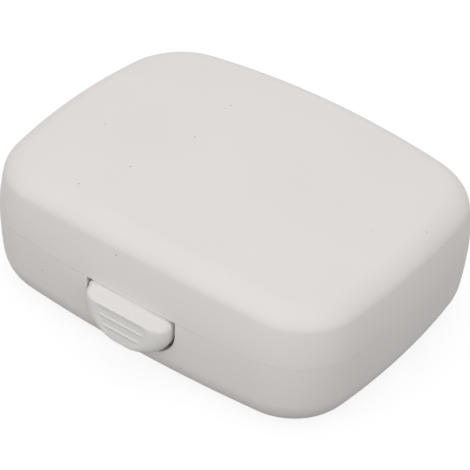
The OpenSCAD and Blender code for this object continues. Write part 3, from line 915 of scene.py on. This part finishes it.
def make_latch_button():
    """Press button with its barrel, bored at both ends, stop wings, hook and spigot."""
    button = button_body()
    barrel = prism("barrel", circle(BARREL_R), -barrel_half, barrel_half, about_pivot)
    front_spigot = spigot("front_spigot", arm_out - HOOK_T / 2, arm_out + SPIGOT_H)
    join(button, barrel, stop_wings(), hook(), front_spigot)
    inner_end = barrel_half - PIN_HOLD - PIN_END_GAP
    for low, high in ((-barrel_half - CUT, -inner_end), (inner_end, barrel_half + CUT)):
        cut(button, bar("barrel_bore", LATCH_PIN_R + HINGE_RUN, low, high, about_pivot))
    return button


def make_latch_spring():
    """Coil spring whose curls close up towards both ends."""
    radius = (SPRING_D - SPRING_WIRE) / 2
    start = arm_out + SEAT_GAP + SPRING_WIRE / 2
    count = SPRING_TURNS * SPRING_STEPS
    wire = circle(SPRING_WIRE / 2, SPRING_SIDES)
    rings = []
    for i in range(count + 1):
        share = i / count
        turn = 360 * SPRING_TURNS * share
        eased = share - SPRING_CLOSE * sin(360 * share) / (2 * math.pi)
        centre = np.array([radius * cos(turn), start + (SPRING_LEN - SPRING_WIRE) * eased - CASE_D / 2,
                           PARTING_H - SPRING_DROP + radius * sin(turn)])
        out = np.array([cos(turn), 0, sin(turn)])
        rings.append(centre + np.outer(wire[:, 0], out) + np.outer(wire[:, 1], (0, 1, 0)))
    return loft("latch_spring_coiled", rings)


def foam_block(name, bottom, top):
    """Block of foam that follows the inside of the base, with a rounded upper edge."""
    depth = WALL + FOAM_GAP
    levels = bottom + (top - FOAM_ROUND - bottom) * np.linspace(0, 1, EDGE_STEPS + 1) ** 2
    rings = [base_ring(z, depth) for z in levels]
    rings += [flat_ring(base_inset(top, depth) + inwards, top - short)
              for inwards, short in round_over(FOAM_ROUND)[1:]]
    return loft(name, rings)


def flared_cutter(name, points, bottom, top):
    """Upright cutter, hollowed between its ends, that widens by a round at the top."""
    levels = [(0, bottom - CUT)]
    for share in np.linspace(0, 1, WALL_STEPS + 1):
        levels.append((WELL_HOLLOW * sin(180 * share), bottom + (top - FOAM_ROUND - bottom) * share))
    levels += [(wider, top - short) for wider, short in round_over(FOAM_ROUND)[1:]]
    levels.append((FOAM_ROUND, top + CUT))
    rings = []
    for wider, z in levels:
        ring = inset_polygon(points, -wider)
        rings.append(np.column_stack([ring, np.full(len(ring), z)]))
    return loft(name, rings)


def well_outline(side):
    """Bean-shaped outline of a well, wide at its front end and narrow at its rear end."""
    turns = np.linspace(-WELL_TURN, WELL_TURN, WELL_STEPS + 1)
    half = WELL_WIDE + (WELL_NARROW - WELL_WIDE) * (turns + WELL_TURN) / (2 * WELL_TURN)
    way = np.column_stack([np.cos(np.radians(turns)), np.sin(np.radians(turns))])
    centre = np.array([WELL_X, WELL_Y])
    rear = centre + WELL_BEND * way[-1]
    front = centre + WELL_BEND * way[0]
    points = np.vstack([
        centre + (WELL_BEND + half)[:, None] * way,
        arc(rear, WELL_NARROW, WELL_TURN, WELL_TURN + 180, WELL_STEPS)[1:-1],
        (centre + (WELL_BEND - half)[:, None] * way)[::-1],
        arc(front, WELL_WIDE, 180 - WELL_TURN, 360 - WELL_TURN, WELL_STEPS)[1:-1],
    ])
    if side < 0:
        points = (points * (-1, 1))[::-1]
    return points


def latch_space():
    """Outline of the space that the latch and its walls take out of the foam."""
    half = cheek_out + 2 * FOAM_GAP
    rear = housing_out + 2 * FOAM_GAP - CASE_D / 2
    front = -CASE_D / 2 - CUT
    return rounded([(-half, front), (half, front), (half, rear), (-half, rear)], FOAM_ROUND)


def soften(block):
    """Even small faces, soft edges and a slight unevenness."""
    remesh = block.modifiers.new("remesh", "REMESH")
    remesh.mode = "VOXEL"
    remesh.voxel_size = FOAM_VOXEL
    smooth = block.modifiers.new("smooth", "SMOOTH")
    smooth.factor = SMOOTH_SHARE
    smooth.iterations = SMOOTH_ROUNDS
    apply_modifiers(block)
    places = []
    for vertex in block.data.vertices:
        swell = noise.noise(vertex.co / FOAM_WAVE_LENGTH) - 1
        places.append(vertex.co + vertex.normal * FOAM_WAVE * swell)
    for vertex, place in zip(block.data.vertices, places):
        vertex.co = place


sheet_z = FLOOR_T + GLUE_GAP
insert_z = sheet_z + SHEET_T + GLUE_GAP


def make_foam_sheet():
    """Foam backing sheet on the floor of the base."""
    sheet = foam_block("base_foam_sheet_soft", sheet_z, sheet_z + SHEET_T)
    cut(sheet, flared_cutter("sheet_space", latch_space(), sheet_z, sheet_z + SHEET_T))
    soften(sheet)
    return sheet


def make_foam_insert():
    """Foam block with a well for each aid."""
    top = PARTING_H - INSERT_DROP
    insert = foam_block("base_foam_insert_soft", insert_z, top)
    cut(insert, flared_cutter("insert_space", latch_space(), insert_z, top),
        flared_cutter("right_well", well_outline(1), insert_z, top),
        flared_cutter("left_well", well_outline(-1), insert_z, top))
    soften(insert)
    return insert


def make_lid_pad():
    """Foam pad that fills the dome of the lid, with a rounded lower edge."""
    depth = WALL + FOAM_GAP
    bottom = PARTING_H + PAD_LIFT
    inset = lid_lean(CASE_H - LID_EDGE_H) + depth
    rings = [flat_ring(inset + inwards, bottom + short)
             for inwards, short in reversed(round_over(FOAM_ROUND))]
    pad = loft("lid_foam_pad_soft", rings + lid_face(depth), None, (0, 0, CASE_H - depth))
    soften(pad)
    return pad


def srgb(colour):
    """Linear colour of an 8-bit sRGB one."""
    def linear(value):
        share = value / 255
        return share / 12.92 if share <= 0.04045 else ((share + 0.055) / 1.055) ** 2.4
    return (*map(linear, colour), 1)


class Shader:
    """A material's nodes, with short ways to add and link them."""

    # Sockets of the node that mixes colours, whose names are shared by its other kinds
    MIX_SHARE = 0
    MIX_FIRST = 6
    MIX_SECOND = 7
    MIX_RESULT = 2

    def __init__(self, name):
        self.material = bpy.data.materials.new(name)
        self.material.use_nodes = True
        self.tree = self.material.node_tree
        self.surface = self.tree.nodes["Principled BSDF"]
        self.place = self.tree.nodes.new("ShaderNodeTexCoord").outputs["Object"]

    def feed(self, socket, value):
        """Links another node's output to a socket, or gives the socket a value."""
        if isinstance(value, bpy.types.NodeSocket):
            self.tree.links.new(value, socket)
        else:
            socket.default_value = value

    def add(self, kind, inputs=None, **settings):
        """A node with its settings, and inputs that are values or other nodes' outputs."""
        node = self.tree.nodes.new(kind)
        for key, value in settings.items():
            setattr(node, key, value)
        for key, value in (inputs or {}).items():
            self.feed(node.inputs[key], value)
        return node

    def set(self, **inputs):
        """Inputs of the surface, with underscores for the spaces in their names."""
        for key, value in inputs.items():
            self.feed(self.surface.inputs[key.replace("_", " ")], value)

    def noise(self, size, detail=2, place=None):
        """Noise whose features have about that size, in metres."""
        inputs = {"Vector": place or self.place, "Scale": 1 / size, "Detail": detail}
        return self.add("ShaderNodeTexNoise", inputs).outputs["Fac"]

    def cells(self, size):
        """Distances and colours of scattered cells of about that size, in metres."""
        return self.add("ShaderNodeTexVoronoi", {"Vector": self.place, "Scale": 1 / size}).outputs

    def spread(self, value, source, target):
        """A value taken from one range to another."""
        inputs = {"Value": value, "From Min": source[0], "From Max": source[1],
                  "To Min": target[0], "To Max": target[1]}
        return self.add("ShaderNodeMapRange", inputs).outputs["Result"]

    def blend(self, share, first, second):
        """A colour between two others."""
        inputs = {self.MIX_SHARE: share, self.MIX_FIRST: first, self.MIX_SECOND: second}
        return self.add("ShaderNodeMix", inputs, data_type="RGBA").outputs[self.MIX_RESULT]

    def maths(self, operation, first, second):
        return self.add("ShaderNodeMath", {0: first, 1: second}, operation=operation).outputs[0]

    def bump(self, height, depth, normal=None):
        """Normal of a relief with that depth, in metres, on top of another normal."""
        inputs = {"Height": height, "Strength": 1.0, "Distance": depth}
        if normal is not None:
            inputs["Normal"] = normal
        return self.add("ShaderNodeBump", inputs).outputs["Normal"]


def moulded_plastic(name, colours):
    """Satin moulded plastic: a fine grain, faint clouding and a few tiny specks."""
    shader = Shader(name)
    cloud = shader.spread(shader.noise(CLOUD_SIZE), NOISE_RANGE, FULL_RANGE)
    tone = shader.blend(cloud, *map(srgb, colours))
    cells = shader.cells(SPECK_SPACING)
    near = shader.maths("LESS_THAN", cells["Distance"], SPECK_R)
    chosen = shader.maths("GREATER_THAN", cells["Color"], SPECK_RARITY)
    speck = shader.maths("MULTIPLY", near, chosen)
    tone = shader.blend(shader.maths("MULTIPLY", speck, SPECK_STRENGTH), tone, srgb(SPECK_COLOUR))
    grain = shader.noise(GRAIN_SIZE)
    normal = shader.bump(grain, GRAIN_DEPTH, shader.bump(shader.noise(WAVE_SIZE), WAVE_DEPTH))
    shader.set(Base_Color=tone, Roughness=shader.spread(grain, NOISE_RANGE, PLASTIC_ROUGHNESS))
    shader.set(Normal=normal, IOR=PLASTIC_IOR)
    return shader.material


def foam_finish():
    """Dark closed-cell foam: small cells, a dull skin and faint mottling."""
    shader = Shader("dark_foam")
    fine = shader.maths("MULTIPLY", shader.cells(FINE_CELL_SIZE)["Distance"], FINE_CELL_SHARE)
    pits = shader.maths("ADD", shader.cells(CELL_SIZE)["Distance"], fine)
    mottle = shader.spread(shader.noise(MOTTLE_SIZE, MOTTLE_DETAIL), NOISE_RANGE, FULL_RANGE)
    tone = shader.blend(mottle, *map(srgb, FOAM_COLOURS))
    tone = shader.blend(shader.spread(pits, PIT_RANGE, (0, PIT_STRENGTH)), tone, srgb(PIT_COLOUR))
    shader.set(Base_Color=tone, Roughness=shader.spread(pits, FULL_RANGE, FOAM_ROUGHNESS))
    shader.set(Normal=shader.bump(pits, PIT_DEPTH))
    shader.set(Sheen_Weight=FOAM_SHEEN, Sheen_Roughness=SHEEN_ROUGHNESS)
    return shader.material


def drawn_steel():
    """Drawn steel wire: fine lines along its length and a soft shine."""
    shader = Shader("drawn_steel")
    stretch = shader.add("ShaderNodeMapping", {"Vector": shader.place, "Scale": (LINE_STRETCH, 1, 1)})
    lines = shader.noise(LINE_SIZE, LINE_DETAIL, stretch.outputs["Vector"])
    tone = shader.blend(lines, *map(srgb, STEEL_COLOURS))
    shader.set(Base_Color=tone, Roughness=shader.spread(lines, NOISE_RANGE, STEEL_ROUGHNESS))
    shader.set(Metallic=1.0, Normal=shader.bump(lines, LINE_DEPTH))
    return shader.material


shell_look = moulded_plastic("shell_plastic", SHELL_COLOURS)
latch_look = moulded_plastic("latch_plastic", LATCH_COLOURS)
foam_look = foam_finish()
steel_look = drawn_steel()

dress(make_base_shell(), "base", "base_shell", shell_look)
dress(make_lid_shell(), "lid", "lid_shell", shell_look)
dress(make_latch_button(), "latch", "latch_button", latch_look)

for make, body, node in ((make_foam_sheet, "base", "base_foam_sheet"),
                         (make_foam_insert, "base", "base_foam_insert"),
                         (make_lid_pad, "lid", "lid_foam_pad")):
    made = make()
    dress(made, body, node, foam_look)

spring = make_latch_spring()
dress(spring, "base", "latch_spring", steel_look)
spring_level = PARTING_H - SPRING_DROP - pivot_point.z
spring_travel = spring_level * sin(press_angle)
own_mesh(spring)

hinge_pin = prism("hinge_pin_drawn", circle(PIN_R), -base_knuckle_end, base_knuckle_end, about_hinge,
                  PIN_EDGE)
dress(hinge_pin, "base", "hinge_pin", steel_look)
pin_in = barrel_half - PIN_HOLD
for side, low, high in (("left", -cheek_out, -pin_in), ("right", pin_in, cheek_out)):
    latch_pin = prism(side + "_latch_pin", circle(LATCH_PIN_R), low, high, about_pivot, PIN_EDGE)
    dress(latch_pin, "base", "latch_pins", steel_look)


def add_camera():
    """Camera that looks at the case from the photo's angle."""
    back = direction(CAMERA_AZIMUTH, CAMERA_ELEVATION)
    data = bpy.data.cameras.new("camera")
    data.sensor_width = CAMERA_SENSOR
    data.lens = CAMERA_LENS
    data.clip_start, data.clip_end = CAMERA_CLIP
    camera = add_object("camera", data)
    turn = (-back).to_track_quat("-Z", "Y").to_matrix().to_4x4()
    roll = Matrix.Rotation(math.radians(CAMERA_ROLL), 4, "Z")
    camera.matrix_world = Matrix.Translation(CAMERA_AIM + back * CAMERA_DISTANCE) @ turn @ roll
    bpy.context.scene.camera = camera


def add_floor():
    """Pale floor that is white to the camera and keeps the object's shadow."""
    corners = [(-1, -1), (1, -1), (1, 1), (-1, 1)]
    vertices = [(x * STAGE_HALF, y * STAGE_HALF, -STAGE_DROP) for x, y in corners]
    floor = mesh_piece("floor", vertices, [(0, 1, 2, 3)])
    shader = Shader("pale_floor")
    light = shader.add("ShaderNodeLightPath").outputs
    seen = shader.maths("MAXIMUM", light["Is Camera Ray"], light["Is Glossy Ray"])
    seen = shader.maths("MAXIMUM", seen, light["Is Transmission Ray"])
    tone = shader.blend(seen, srgb(STAGE_COLOUR), srgb(STAGE_SEEN))
    shader.set(Base_Color=tone, Roughness=STAGE_ROUGHNESS, Specular_IOR_Level=0.0)
    shader.set(Emission_Color=WHITE, Emission_Strength=shader.maths("MULTIPLY", seen, STAGE_GLOW))
    floor.data.materials.append(shader.material)


def add_lamp(name, azimuth, elevation, share):
    """Square soft box that faces the object, with a share of the light that shows colours as written."""
    data = bpy.data.lights.new(name, "AREA")
    data.shape = "SQUARE"
    data.size = LAMP_SIZE
    data.energy = share * (math.pi * LAMP_DISTANCE) ** 2
    lamp = add_object(name, data)
    away = direction(azimuth, elevation)
    turn = away.to_track_quat("Z", "Y").to_matrix().to_4x4()
    lamp.matrix_world = Matrix.Translation(away * LAMP_DISTANCE) @ turn


def add_light():
    """Soft boxes, and even light from all round that the camera sees as white."""
    for name, lamp in LAMPS.items():
        add_lamp(name, *lamp)
    world = bpy.data.worlds.new("studio")
    world.use_nodes = True
    nodes = world.node_tree.nodes
    links = world.node_tree.links
    seen = nodes.new("ShaderNodeLightPath").outputs["Is Camera Ray"]
    strength = nodes.new("ShaderNodeMapRange")
    strength.inputs["To Min"].default_value = SKY_LEVEL
    strength.inputs["To Max"].default_value = 1.0
    links.new(seen, strength.inputs["Value"])
    links.new(strength.outputs["Result"], nodes["Background"].inputs["Strength"])
    nodes["Background"].inputs["Color"].default_value = WHITE
    bpy.context.scene.world = world


add_camera()
add_floor()
add_light()
bpy.context.scene.view_settings.view_transform = "Standard"
